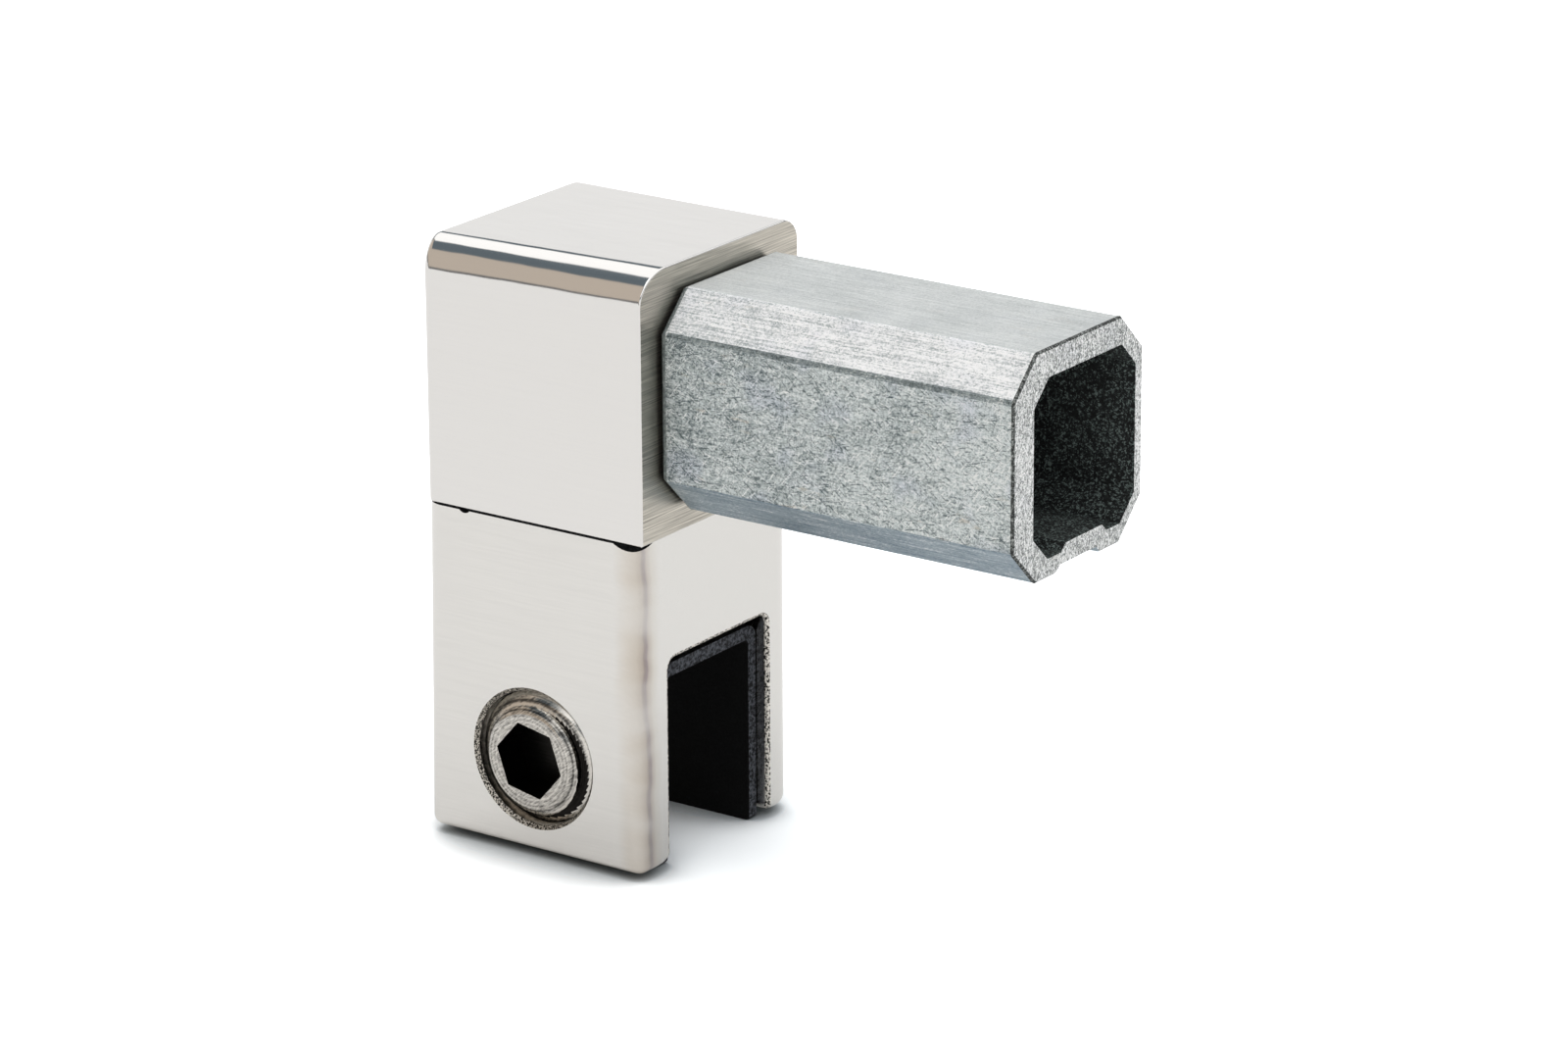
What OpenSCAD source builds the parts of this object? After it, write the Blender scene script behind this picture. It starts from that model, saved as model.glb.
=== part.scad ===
// Glass panel clamp for the end of a square support tube.
// A solid end block carries a die-cast plug that fits inside the tube. A forked body is bolted
// under the block, and its set screw presses a rubber-lined slot onto the edge of a glass panel.
//
// +X points along the plug, +Y to the back of the clamp and +Z up. The origin is on the clamp's
// upright centre line, where the edge of the glass meets the underside of the liner's web.

/* [End block] */
// Side of the square footprint shared by the block, the clamp body and the tube
block_side = 19; // [18:0.5:24]
// Height of the end block
block_height = 19.5; // [17.5:0.5:26]
// Rounding of the block's front top edge
front_round = 2.5; // [0.5:0.1:4]
// Rounding of the block's back top edge
back_round = 1.8; // [0.5:0.1:4]
// Rounding of the block's outer end edge
end_round = 0.8; // [0.2:0.1:2]

/* [Clamp body] */
// How far the body's middle sits outward of the block's, away from the plug
body_shift = 0.4; // [0:0.1:0.6]
// Height of the solid head above the slot
head_height = 9.4; // [8:0.2:14]
// Width of the slot between its two metal walls
slot_width = 12; // [10.5:0.1:12.6]
// Depth of the slot, from the feet of the walls to its ceiling
slot_depth = 15.3; // [14:0.1:24]
// Rounding of the slot's inner corners
slot_round = 0.8; // [0.3:0.1:1.5]
// Rounding of the upright edges on the plug side
upright_round = 2.3; // [0.8:0.1:3]
// Rounding of the upright edges on the outer side
outer_upright_round = 0.6; // [0.2:0.1:2]
// Rounding of the edges round the feet
foot_round = 0.8; // [0.3:0.1:1.2]

/* [Rubber liner] */
// Thickness of the liner's two legs
liner_leg = 0.95; // [0.6:0.05:1.5]
// Thickness of the liner's web
liner_web = 1.05; // [0.6:0.05:2]
// Air gap between the liner's web and the slot's ceiling
liner_gap = 0.8; // [0.4:0.1:0.9]
// How far the liner's legs stand below the metal feet
liner_drop = 0.5; // [0.2:0.1:1]
// How far the liner's ends sit inside the body's end faces
liner_inset = 1; // [0.4:0.1:3]
// Rounding of the liner's outer top corners
liner_round = 1; // [0.3:0.1:1.8]
// Rounding of the liner's inner top corners
liner_inner_round = 0.4; // [0.1:0.1:1.2]

/* [Tube plug] */
// Wall of the square tube that the plug goes into
tube_wall = 1.2; // [1:0.1:1.5]
// Gap between the plug and the inside of the tube
tube_fit = 0.2; // [0.1:0.05:0.4]
// Length of the plug beyond the end block
plug_length = 29.3; // [18:0.1:45]
// Chamfer on the plug's four long corners
plug_chamfer = 2.8; // [1.5:0.1:3.5]
// Mean thickness of the plug's side walls
plug_wall = 1.7; // [1.3:0.05:2.4]
// Thickness of the wall that closes the plug at the block
plug_root = 3; // [2:0.1:4]
// How far the plug sits behind the block's middle
plug_offset = 0.5; // [0:0.1:0.8]
// How far the hollow sits behind the plug's middle
hollow_offset = 0.7; // [0:0.05:0.8]
// How far the hollow sits below the plug's middle
hollow_drop = 0.3; // [0:0.05:0.5]
// Width of the groove that clears the tube's weld seam
groove_width = 4.6; // [3:0.1:6]
// Depth of the weld seam groove
groove_depth = 0.55; // [0.2:0.05:0.8]

/* [Fasteners] */
// Diameter of the set screw
set_screw_d = 9.9; // [7.9:0.1:9.9]
// How far the set screw's face stands out of the body's front face
set_screw_proud = 0.5; // [0:0.05:1]
// Width across the flats of the set screw's socket
set_socket_flats = 5; // [4:0.5:5.5]
// Height of the set screw's axis above the feet
set_screw_height = 7; // [6.4:0.1:8]
// Thickness of the loose disc between the set screw and the liner
disc_thickness = 0.5; // [0.3:0.05:0.8]
// Diameter of the body bolt's shank
bolt_d = 6; // [5:0.5:6]
// Overall length of the countersunk body bolt
bolt_length = 16; // [14:0.5:16]
// Diameter of the plug screw's shank
plug_screw_d = 5; // [4:0.5:5]
// Length of the plug screw under its head
plug_screw_length = 10; // [8:0.5:10]
// Thickness of the plug screw's spring washer
washer_thickness = 1.2; // [0.8:0.1:1.6]

/* [Fits] */
// Radial clearance of a screw in its hole
screw_clearance = 0.05; // [0.02:0.01:0.08]
// Gap between the rubber liner and each wall of the slot
liner_fit = 0.05; // [0.03:0.01:0.15]
// Gap between the loose disc and the bottoms of the set screw's thread
disc_fit = 0.85; // [0.8:0.05:1.2]

/* [Hidden] */
$fn = 64;
CUT = 1;                       // how far a cut runs past the face that it opens

// The square column, and the levels up it from the seat of the glass edge
half = block_side / 2;
slot_half = slot_width / 2;
ceiling_z = liner_web + liner_gap;
feet_z = ceiling_z - slot_depth;
seam_z = ceiling_z + head_height;
plug_z = seam_z + block_height / 2;

// Plug section
plug_side = block_side - 2 * (tube_wall + tube_fit);
hollow_side = plug_side - 2 * plug_wall;
hollow_chamfer = plug_chamfer - plug_wall * (2 - sqrt(2));
plug_floor_x = half + plug_root;

// Screws, in the proportions of socket screws
tip_room = 0.3;                // hole left beyond the tip of a screw
edge_chamfer = 0.4;            // chamfer on a screw's ends
mouth_chamfer = 0.3;           // countersink round the set screw's hole
bolt_head_d = 1.9 * bolt_d;
bolt_rim = 0.05 * bolt_d;      // straight rim of the ninety degree head
bolt_head_h = (bolt_head_d - bolt_d) / 2 + bolt_rim;
bolt_socket_flats = bolt_d * 2 / 3;
bolt_socket_depth = 0.35 * bolt_d;
plug_head_d = 1.7 * plug_screw_d;
plug_socket_flats = 0.8 * plug_screw_d;
plug_socket_depth = 0.5 * plug_screw_d;
washer_d = 1.85 * plug_screw_d;
washer_split = 0.8;            // cut through the spring washer
plug_screw_reach = plug_screw_length - plug_root - washer_thickness;
bolt_reach = bolt_length - head_height;
disc_y = -slot_half - disc_thickness;
set_screw_length = half - slot_half - disc_thickness + set_screw_proud;
set_socket_depth = 0.75 * set_screw_length;
set_face_d = 0.76 * set_screw_d;   // flat face round the set screw's socket
set_cone_depth = 0.9;          // from that face down to the full thread
set_face_y = disc_y - set_screw_length;
set_z = feet_z + set_screw_height;
set_turn = 11;                 // angle that the set screw's socket has been left at

// Sweeps an outline drawn in (Y, Z) along +X.
module along_x(length) rotate([90, 0, 90]) linear_extrude(length) children();

// Sweeps an outline drawn in (X, Z) along +Y.
module along_y(length) translate([0, length, 0]) rotate([90, 0, 0]) linear_extrude(length) children();

// What a rounding takes off a corner at the origin, with the panel on its +X +Y side.
module corner_waste(r) if (r > 0) difference() {
    translate([-CUT, -CUT]) square(r + CUT);
    translate([r, r]) circle(r);
}

// A rectangle with one radius for each corner: low left, low right, top right, top left.
module rounded_panel(width, height, radii) difference() {
    square([width, height]);
    corner_waste(radii[0]);
    translate([width, 0]) mirror([1, 0]) corner_waste(radii[1]);
    translate([width, height]) rotate(180) corner_waste(radii[2]);
    translate([0, height]) mirror([0, 1]) corner_waste(radii[3]);
}

// A square section with its corners cut off, centred on the origin.
module chamfered_square(side, chamfer) {
    a = side / 2;
    b = a - chamfer;
    polygon([[-b, -a], [b, -a], [a, -b], [a, b], [b, a], [-b, a], [-a, b], [-a, -b]]);
}

// The strip raised over the tube's weld seam, standing on y = 0 with sloping sides.
module seam_strip() {
    top = groove_width / 2;
    foot = top + groove_depth;
    polygon([[-foot, -CUT], [foot, -CUT], [foot, 0], [top, groove_depth],
             [-top, groove_depth], [-foot, 0]]);
}

// A straight hole from z = 0 upwards, opened past the face at z = 0.
module hole(d, depth) translate([0, 0, -CUT]) cylinder(d = d, h = depth + CUT);

// A hexagon socket sunk upwards from z = 0.
module hex_socket(flats, depth) translate([0, 0, -CUT])
    cylinder(r = flats / sqrt(3), h = depth + CUT, $fn = 6);

// A shank from z = 0 to its chamfered tip.
module shank(d, length) rotate_extrude() polygon([[0, 0], [d / 2, 0],
    [d / 2, length - edge_chamfer], [d / 2 - edge_chamfer, length], [0, length]]);

// Solid cube at the end of the tube, tapped from its plug face and from below.
module end_block() color("gainsboro") difference() {
    intersection() {
        translate([-half, -half, seam_z]) along_x(block_side)
            rounded_panel(block_side, block_height, [0, 0, back_round, front_round]);
        translate([-half, -half, seam_z]) along_y(block_side)
            rounded_panel(block_side, block_height, [0, 0, 0, end_round]);
    }
    translate([half, plug_offset, plug_z]) rotate([0, -90, 0])
        hole(plug_screw_d + 2 * screw_clearance, plug_screw_reach + tip_room);
    translate([0, 0, seam_z]) hole(bolt_d + 2 * screw_clearance, bolt_reach + tip_room);
}

// Outline of the fork from the side, with its slot cut up from the feet.
module fork_outline() difference() {
    rounded_panel(block_side, head_height + slot_depth, [foot_round, foot_round, 0, 0]);
    translate([half - slot_half, -CUT])
        rounded_panel(slot_width, slot_depth + CUT, [0, 0, slot_round, slot_round]);
    translate([half - slot_half, 0]) mirror([1, 0]) corner_waste(foot_round);
    translate([half + slot_half, 0]) corner_waste(foot_round);
}

// Forked body: solid head above, and two walls either side of the glass.
module clamp_body() color("silver") difference() {
    body_height = head_height + slot_depth;
    translate([-half - body_shift, -half, feet_z]) intersection() {
        along_x(block_side) fork_outline();
        along_y(block_side)
            rounded_panel(block_side, body_height, [foot_round, foot_round, 0, 0]);
        linear_extrude(body_height) rounded_panel(block_side, block_side,
            [outer_upright_round, upright_round, upright_round, outer_upright_round]);
    }
    bolt_recess();
    set_screw_hole();
}

// Clearance hole and countersink for the body bolt, up from the slot's ceiling.
module bolt_recess() translate([0, 0, ceiling_z]) rotate_extrude() {
    r = bolt_d / 2 + screw_clearance;
    rim = bolt_head_d / 2 + screw_clearance;
    polygon([[0, -liner_gap / 2], [rim, -liner_gap / 2], [rim, bolt_rim],
             [r, bolt_head_h], [r, head_height + CUT], [0, head_height + CUT]]);
}

// Threaded hole for the set screw, through the front wall, with a broken edge at its mouth.
module set_screw_hole() translate([-body_shift, -half, set_z]) rotate([-90, 0, 0]) rotate_extrude() {
    r = set_screw_d / 2 + screw_clearance;
    mouth = r + mouth_chamfer;
    polygon([[0, -CUT], [mouth, -CUT], [mouth, 0], [r, mouth_chamfer],
             [r, half - slot_half + CUT], [0, half - slot_half + CUT]]);
}

// Soft channel that lies between the metal walls and the glass.
module rubber_liner() color("dimgray") {
    width = slot_width - 2 * liner_fit;
    height = liner_web - feet_z + liner_drop;
    length = block_side - 2 * liner_inset;
    translate([-length / 2 - body_shift, -width / 2, feet_z - liner_drop]) along_x(length) difference() {
        rounded_panel(width, height, [0, 0, liner_round, liner_round]);
        translate([liner_leg, -CUT]) rounded_panel(width - 2 * liner_leg,
            height - liner_web + CUT, [0, 0, liner_inner_round, liner_inner_round]);
    }
}

// Outline of the casting, with the weld seam groove along its underside.
module plug_outline() difference() {
    chamfered_square(plug_side, plug_chamfer);
    translate([0, -plug_side / 2]) seam_strip();
}

// Outline of the casting's hollow, whose floor rises over the groove.
module hollow_outline() difference() {
    chamfered_square(hollow_side, hollow_chamfer);
    translate([0, -hollow_side / 2]) seam_strip();
}

// Hollow die-cast plug, closed at the block and open at its free end.
module tube_plug() color("slategray") translate([0, plug_offset, plug_z]) difference() {
    translate([half, 0, 0]) along_x(plug_length) plug_outline();
    translate([plug_floor_x, hollow_offset, -hollow_drop])
        along_x(plug_length - plug_root + CUT) hollow_outline();
    translate([half, 0, 0]) rotate([0, 90, 0])
        hole(plug_screw_d + 2 * screw_clearance, plug_root + CUT);
}

// Cylinder head screw that draws the plug onto the block.
module plug_screw() color("darkgray")
    translate([plug_floor_x + washer_thickness, plug_offset, plug_z]) rotate([0, -90, 0]) {
        shank(plug_screw_d, plug_screw_length);
        difference() {
            translate([0, 0, -plug_screw_d]) cylinder(d = plug_head_d, h = plug_screw_d);
            translate([0, 0, -plug_screw_d]) hex_socket(plug_socket_flats, plug_socket_depth);
        }
    }

// Split washer under the plug screw's head.
module spring_washer() color("gray")
    translate([plug_floor_x, plug_offset, plug_z]) rotate([0, 90, 0]) difference() {
        cylinder(d = washer_d, h = washer_thickness);
        translate([0, 0, -CUT]) cylinder(d = plug_screw_d + 2 * screw_clearance,
            h = washer_thickness + 2 * CUT);
        translate([0, -washer_split / 2, -CUT])
            cube([washer_d, washer_split, washer_thickness + 2 * CUT]);
    }

// Countersunk bolt from the slot's ceiling, through the head and into the block.
module body_bolt() color("darkgray") translate([0, 0, ceiling_z]) difference() {
    rotate_extrude() polygon([[0, 0], [bolt_head_d / 2, 0], [bolt_head_d / 2, bolt_rim],
        [bolt_d / 2, bolt_head_h], [bolt_d / 2, bolt_length - edge_chamfer],
        [bolt_d / 2 - edge_chamfer, bolt_length], [0, bolt_length]]);
    hex_socket(bolt_socket_flats, bolt_socket_depth);
}

// Hexagon socket set screw in the front wall.
module set_screw() color("lightgray")
    translate([-body_shift, set_face_y, set_z]) rotate([-90, 0, 0]) difference() {
        rotate_extrude() polygon([[0, 0], [set_face_d / 2, 0],
            [set_screw_d / 2, set_cone_depth], [set_screw_d / 2, set_screw_length - edge_chamfer],
            [set_screw_d / 2 - edge_chamfer, set_screw_length], [0, set_screw_length]]);
        rotate(set_turn) hex_socket(set_socket_flats, set_socket_depth);
    }

// Loose disc that stops the turning screw from chewing the rubber.
module pressure_disc() color("lightgray") translate([-body_shift, disc_y, set_z])
    rotate([-90, 0, 0]) cylinder(d = set_screw_d - 2 * disc_fit, h = disc_thickness);

end_block();
clamp_body();
rubber_liner();
tube_plug();
plug_screw();
spring_washer();
body_bolt();
set_screw();
pressure_disc();
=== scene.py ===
"""Looks of a glass panel clamp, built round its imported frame.

The clamp is a polished stainless end block with a die-cast zinc plug for a square tube, and a forked
stainless body bolted under it. A rubber channel lines the fork's slot, and a set screw in the front
wall presses it onto the glass. Lengths are in millimetres until a mesh is made.
"""

import logging
import math
from dataclasses import dataclass
from enum import Enum
from typing import ClassVar, Iterable, Sequence

import bmesh
import bpy
from mathutils import Matrix, Vector


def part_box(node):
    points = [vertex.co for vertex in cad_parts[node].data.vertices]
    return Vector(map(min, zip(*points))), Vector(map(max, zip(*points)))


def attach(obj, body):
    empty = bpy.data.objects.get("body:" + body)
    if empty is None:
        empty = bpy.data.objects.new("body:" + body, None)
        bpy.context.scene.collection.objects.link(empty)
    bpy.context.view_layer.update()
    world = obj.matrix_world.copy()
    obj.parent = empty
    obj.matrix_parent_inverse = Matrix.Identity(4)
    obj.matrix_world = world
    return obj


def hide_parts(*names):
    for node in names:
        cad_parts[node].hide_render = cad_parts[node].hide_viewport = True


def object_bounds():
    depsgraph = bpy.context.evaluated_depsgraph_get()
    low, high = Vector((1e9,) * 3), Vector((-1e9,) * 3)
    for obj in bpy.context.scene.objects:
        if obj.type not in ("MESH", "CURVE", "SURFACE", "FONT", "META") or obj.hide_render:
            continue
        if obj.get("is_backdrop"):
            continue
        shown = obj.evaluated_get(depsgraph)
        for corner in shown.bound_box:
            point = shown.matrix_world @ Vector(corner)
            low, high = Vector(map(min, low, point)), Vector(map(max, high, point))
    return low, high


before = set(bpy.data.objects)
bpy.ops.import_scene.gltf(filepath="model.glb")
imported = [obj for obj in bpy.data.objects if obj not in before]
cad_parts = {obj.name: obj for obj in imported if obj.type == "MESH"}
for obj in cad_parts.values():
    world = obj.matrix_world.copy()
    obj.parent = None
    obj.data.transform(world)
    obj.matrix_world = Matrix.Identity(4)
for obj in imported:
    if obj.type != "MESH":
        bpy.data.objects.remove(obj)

MM = 0.001
NEAR = 1e-6
SHARP_ANGLE = math.radians(35)
BOLT_BORE = 3.05
PLUG_SCREW_BORE = 2.55
MULTIPLY = {"data_type": "RGBA", "blend_type": "MULTIPLY"}
log = logging.getLogger("clamp")

Outline = Sequence[tuple[float, float]]
Solid = bmesh.types.BMesh
Tree = bpy.types.NodeTree
Node = bpy.types.Node
Socket = bpy.types.NodeSocket


class Body(Enum):
    """The bodies that move on their own."""

    CLAMP = "clamp"
    DISC = "disc"
    SCREW = "screw"


class Grain(Enum):
    """The direction that a grinding belt or wheel left its marks in."""

    ALONG_X = (1.0, 0.0, 0.0)
    ALONG_Y = (0.0, 1.0, 0.0)
    ALONG_Z = (0.0, 0.0, 1.0)


# ---------------------------------------------
# Shader helpers


def linear(code: str) -> tuple[float, float, float, float]:
    """Turns an sRGB hex colour into the linear colour that a shader socket takes.

    Args:
        code: Six hex digits after a hash sign.

    Returns:
        Linear red, green and blue, with an alpha of 1.
    """
    parts = [int(code[i : i + 2], 16) / 255 for i in (1, 3, 5)]
    red, green, blue = (c / 12.92 if c <= 0.04045 else ((c + 0.055) / 1.055) ** 2.4 for c in parts)
    return red, green, blue, 1.0


def grey(level: float) -> tuple[float, float, float, float]:
    """A neutral colour of that linear level."""
    return level, level, level, 1.0


def add_node(
    tree: Tree,
    kind: str,
    settings: dict | None = None,
    stops: Sequence[tuple[float, tuple]] = (),
    **inputs,
) -> Node:
    """Adds a node with its settings and links.

    Args:
        tree: The node tree that takes the node.
        kind: The node's type, without the ShaderNode that all of them start with.
        settings: The node's own properties.
        stops: Places and colours of a colour ramp's stops.
        **inputs: Values, output sockets, or nodes for their first output. They are named as the
            input sockets are, with underscores for spaces, or in_0, in_1 where some share a name.

    Returns:
        The new node.
    """
    node = tree.nodes.new(f"ShaderNode{kind}")
    for name, value in (settings or {}).items():
        setattr(node, name, value)
    for place, (position, colour) in enumerate(stops):
        ramp = node.color_ramp.elements
        stop = ramp[place] if place < 2 else ramp.new(position)
        stop.position, stop.color = position, colour
    for name, value in inputs.items():
        key = int(name[3:]) if name.startswith("in_") else name.replace("_", " ")
        if isinstance(value, Node):
            value = value.outputs[0]
        if isinstance(value, Socket):
            tree.links.new(value, node.inputs[key])
        else:
            node.inputs[key].default_value = value
    return node


def stretched(
    tree: Tree,
    pitch: Sequence[float],
    detail: float = 2.0,
    turn: float = 0.0,
    levels: tuple[float, float, float, float] | None = None,
) -> Node:
    """Noise whose grains are drawn out along the axes.

    Args:
        tree: The node tree.
        pitch: The grains' size along each axis, in millimetres.
        detail: How many finer layers are added.
        turn: A turn of the grains about the Y axis, in degrees.
        levels: Two levels of the noise and the two values that they become, with what lies
            outside cut off, or None for the bare noise.

    Returns:
        The node that gives the noise first.
    """
    coords = add_node(tree, "TexCoord").outputs["Object"]
    if turn:
        coords = add_node(tree, "Mapping", Vector=coords, Rotation=(0, math.radians(turn), 0))
    scale = [1 / (size * MM) for size in pitch]
    drawn = add_node(tree, "Mapping", Vector=coords, Scale=scale)
    noise = add_node(tree, "TexNoise", Vector=drawn, Scale=1.0, Detail=detail, Roughness=0.6)
    if levels is None:
        return noise
    low, high, start, stop = levels
    return add_node(
        tree, "MapRange", Value=noise, From_Min=low, From_Max=high, To_Min=start, To_Max=stop
    )


def flecks(
    tree: Tree, size: float, turn: float, length: float, swing: float
) -> Node:
    """Small flat grains, each of one random shade.

    Args:
        tree: The node tree.
        size: A grain's width, in millimetres.
        turn: A turn of the grains about the Y axis, in degrees.
        length: How many times longer than wide they are.
        swing: How far their shades reach to both sides of nought.

    Returns:
        The node that gives the shade first.
    """
    coords = add_node(tree, "TexCoord").outputs["Object"]
    turned = add_node(tree, "Mapping", Vector=coords, Rotation=(0, math.radians(turn), 0))
    step = 1 / (size * MM)
    drawn = add_node(tree, "Mapping", Vector=turned, Scale=(step / length, step, step))
    shade = add_node(tree, "TexVoronoi", Vector=drawn, Scale=1.0).outputs["Color"]
    return add_node(
        tree, "MapRange", Value=shade, From_Min=0.1, From_Max=0.9, To_Min=-swing, To_Max=swing
    )


def dress(
    tree: Tree,
    height: Node,
    depth: float,
    strength: float = 1.0,
    over: Node | None = None,
    **look,
) -> None:
    """Ends a material with its relief and its shader.

    Args:
        tree: The node tree.
        height: The relief's height.
        depth: What a height of 1 stands for, in millimetres.
        strength: The share of the relief that shows.
        over: A coarser relief that this one lies on.
        **look: The shader's own inputs.
    """
    under = {"Normal": over} if over else {}
    relief = add_node(
        tree, "Bump", Height=height, Strength=strength, Distance=depth * MM, **under
    )
    shader = add_node(tree, "BsdfPrincipled", Normal=relief, **look)
    add_node(tree, "OutputMaterial", Surface=shader)


# ---------------------------------------------
# Finishes


@dataclass(frozen=True)
class Finish:
    """A material, named for the real one and for how its surface was made."""

    name: str

    def paint(self, tree: Tree) -> None:
        """Adds the material's nodes to an empty tree."""
        raise NotImplementedError

    def build(self) -> bpy.types.Material:
        """Makes the material."""
        material = bpy.data.materials.new(self.name)
        material.use_nodes = True
        material.node_tree.nodes.clear()
        self.paint(material.node_tree)
        return material


@dataclass(frozen=True)
class GroundStainless(Finish):
    """Austenitic stainless steel, ground with a fine belt and lightly buffed.

    The eye gets a warm, near white mirror that is blurred a little, with hair-fine grinding lines
    that break the reflections' edges. A wave depth lets the reflections swim, as on a face buffed
    by hand. A rounding shade paints shade down a rounded upright edge: a tan band, darkest in a
    wavy brown and violet line.
    """

    colour: str = "#DFDDDA"
    grain: Grain = Grain.ALONG_X
    roughness: float = 0.16
    line_pitch: float = 0.09
    line_length: float = 6.0
    line_depth: float = 0.0004
    tone: float = 0.03
    wave_depth: float = 0.0
    rounding_shade: tuple[float, float] | None = None

    def paint_rounding_shade(self, tree: Tree, colour: Socket) -> Socket:
        """Adds painted shade round the upright axis at the rounding shade's x and y.

        Args:
            tree: The node tree.
            colour: The steel's colour.

        Returns:
            The colour with the painted shade.
        """
        x, y = (at * MM for at in self.rounding_shade)
        coords = add_node(tree, "TexCoord").outputs["Object"]
        parts = add_node(tree, "SeparateXYZ", Vector=coords).outputs
        right, front = (
            add_node(tree, "Math", {"operation": "SUBTRACT"}, in_0=first, in_1=second)
            for first, second in ((parts["X"], x), (y, parts["Y"]))
        )
        turn = add_node(tree, "Math", {"operation": "ARCTAN2"}, in_0=right, in_1=front)
        wave = stretched(tree, (40, 40, 5), levels=(0.3, 0.7, -0.16, 0.08))
        waved = add_node(tree, "Math", in_0=turn, in_1=wave)
        # The ramp paints shade across the rounding: a tan band that deepens to a violet-brown line.
        line = add_node(
            tree,
            "ValToRGB",
            stops=[
                (0.0, linear("#FFFFFF")),
                (0.25, linear("#F4EFE9")),
                (0.45, linear("#E6DED5")),
                (0.56, linear("#D3C9C0")),
                (0.60, linear("#B7ADAB")),
                (0.65, linear("#B5ABAF")),
                (0.69, linear("#DAD1CB")),
                (0.80, linear("#F4F1EC")),
                (1.0, linear("#FFFFFF")),
            ],
            Fac=add_node(tree, "MapRange", Value=waved, From_Max=math.radians(90)),
        )
        patchy = stretched(tree, (9, 9, 4), levels=(0.38, 0.62, 0.45, 1.0))
        return add_node(tree, "Mix", MULTIPLY, in_0=patchy, in_6=colour, in_7=line).outputs[2]

    def paint(self, tree: Tree) -> None:
        """Adds the material's nodes."""
        # Real belt lines are finer than 0.05 mm; these are drawn coarser so that they show.
        pitch = [self.line_length if part else self.line_pitch for part in self.grain.value]
        lines = stretched(tree, pitch, 4.0)
        wear = stretched(tree, (6, 6, 6), levels=(0.3, 0.7, self.roughness * 0.85, self.roughness * 1.15))
        stops = [(0.32, grey(1 - self.tone)), (0.68, grey(1.0))]
        tint = add_node(tree, "ValToRGB", stops=stops, Fac=lines)
        steel = linear(self.colour)
        colour = add_node(tree, "Mix", MULTIPLY, in_0=1.0, in_6=steel, in_7=tint).outputs[2]
        # Painted shade down an upright rounding, where there is one.
        if self.rounding_shade:
            colour = self.paint_rounding_shade(tree, colour)
        waves = None
        if self.wave_depth:
            swell = stretched(tree, [2.5 + 5 * part for part in self.grain.value])
            depth = self.wave_depth * MM
            waves = add_node(tree, "Bump", Height=swell, Strength=1.0, Distance=depth)
        dress(tree, lines, self.line_depth, over=waves, Base_Color=colour, Metallic=1.0, Roughness=wear)


@dataclass(frozen=True)
class TornSteel(Finish):
    """A coarse cut edge in steel, torn rather than sheared.

    The eye gets bright and black specks side by side, where small facets face the light or not.
    """

    bright: str = "#D8D2C6"
    dark: str = "#14120F"
    speck: float = 0.22
    share: float = 0.5

    def paint(self, tree: Tree) -> None:
        """Adds the material's nodes."""
        specks = stretched(tree, (self.speck,) * 3, 1.0)
        stops = [(self.share - 0.05, linear(self.dark)), (self.share + 0.12, linear(self.bright))]
        colour = add_node(tree, "ValToRGB", stops=stops, Fac=specks)
        dress(tree, specks, 0.08, Base_Color=colour, Metallic=0.8, Roughness=0.4)


@dataclass(frozen=True)
class TurnedSteel(Finish):
    """Plated steel turned on a lathe.

    The eye gets fine rings round the axis that catch the light as one blurred fan, with scuffs
    from the key. The furrows between the rings are darker by their own tone; on the set screw their
    darkness is painted shade of its thread's turns.
    """

    centre: Vector
    axis: Grain = Grain.ALONG_Y
    colour: str = "#D5D1CA"
    ring_pitch: float = 0.16
    roughness: float = 0.24
    scuffed: float = 1.0
    # the furrows' darkness: their own tone, and on the set screw painted shade
    furrow_tone_and_shade: float = 0.55

    def paint(self, tree: Tree) -> None:
        """Adds the material's nodes."""
        across = [1 - part for part in self.axis.value]
        out = add_node(
            tree,
            "Mapping",
            Vector=add_node(tree, "TexCoord").outputs["Object"],
            Location=[-at * part for at, part in zip(self.centre, across)],
            Scale=across,
        )
        radius = add_node(tree, "VectorMath", {"operation": "LENGTH"}, in_0=out).outputs["Value"]
        rings = add_node(
            tree,
            "TexNoise",
            {"noise_dimensions": "1D"},
            W=radius,
            Scale=1 / (self.ring_pitch * MM),
            Detail=3.0,
        )
        scuff = 0.3 * self.scuffed
        scuffs = stretched(tree, (0.5, 0.5, 0.12), 3.0, 40, (0.2, 0.8, 0.5 - scuff, 0.5 + scuff))
        height = add_node(tree, "Math", in_0=rings, in_1=scuffs)
        level = add_node(tree, "MapRange", Value=height, From_Min=0.75, From_Max=1.15)
        stops = [(0.0, grey(self.furrow_tone_and_shade)), (1.0, grey(1.0))]
        tint = add_node(tree, "ValToRGB", stops=stops, Fac=level)
        steel = linear(self.colour)
        colour = add_node(tree, "Mix", MULTIPLY, in_0=1.0, in_6=steel, in_7=tint).outputs[2]
        dress(tree, height, 0.012, Base_Color=colour, Metallic=1.0, Roughness=self.roughness)


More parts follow.
